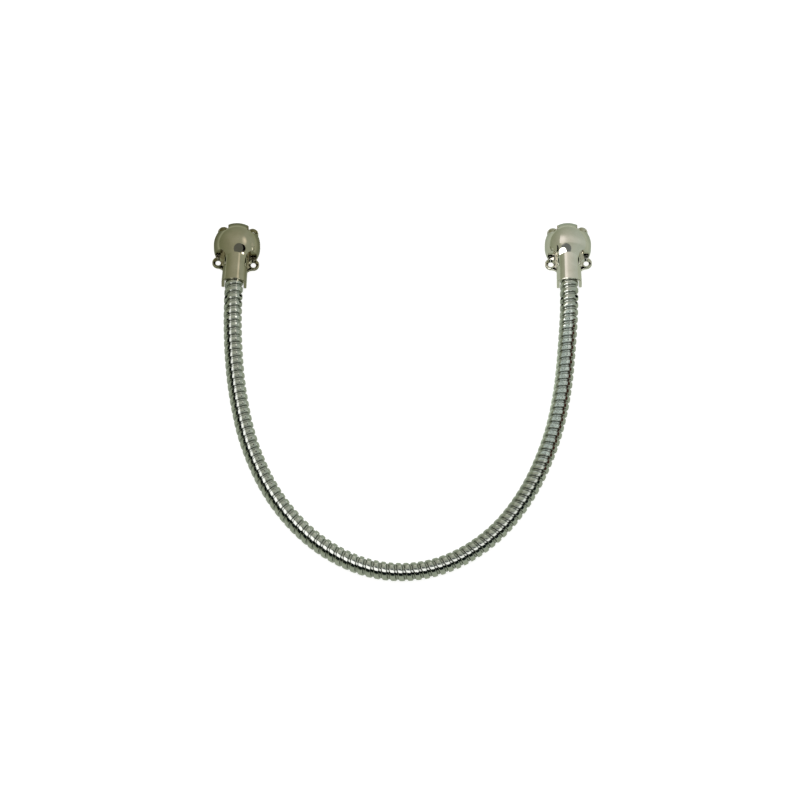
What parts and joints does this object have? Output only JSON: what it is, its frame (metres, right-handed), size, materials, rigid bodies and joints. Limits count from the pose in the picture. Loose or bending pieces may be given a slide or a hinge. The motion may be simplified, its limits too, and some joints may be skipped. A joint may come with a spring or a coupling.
{
  "type": "flexible hose",
  "caption": "Stainless steel flexible hose laid in a U with a die-cast domed end cap on each end, which leads a cable from a door frame to a door.",
  "frame": {"origin": "midway between the two end caps, on their mounting face", "axes": "+X from the left cap to the right cap, +Y towards the tops of the domes, away from the hose's bow, +Z out of the mounting face"},
  "size_m": [0.2276, 0.2335, 0.0164],
  "materials": {
    "hose_steel": "bright rolled strip",
    "left_cap_plating": "bright nickel plating",
    "right_cap_plating": "bright nickel plating",
    "collar_steel": "zinc plated",
    "bush_plastic": "black nylon"
  },
  "bodies": {
    "root": {"flexible_hose": "hose_steel", "left_end_cap": "left_cap_plating", "right_end_cap": "right_cap_plating", "left_hose_collar": "collar_steel", "right_hose_collar": "collar_steel", "left_cable_bush": "bush_plastic", "right_cable_bush": "bush_plastic"}
  },
  "joints": []
}
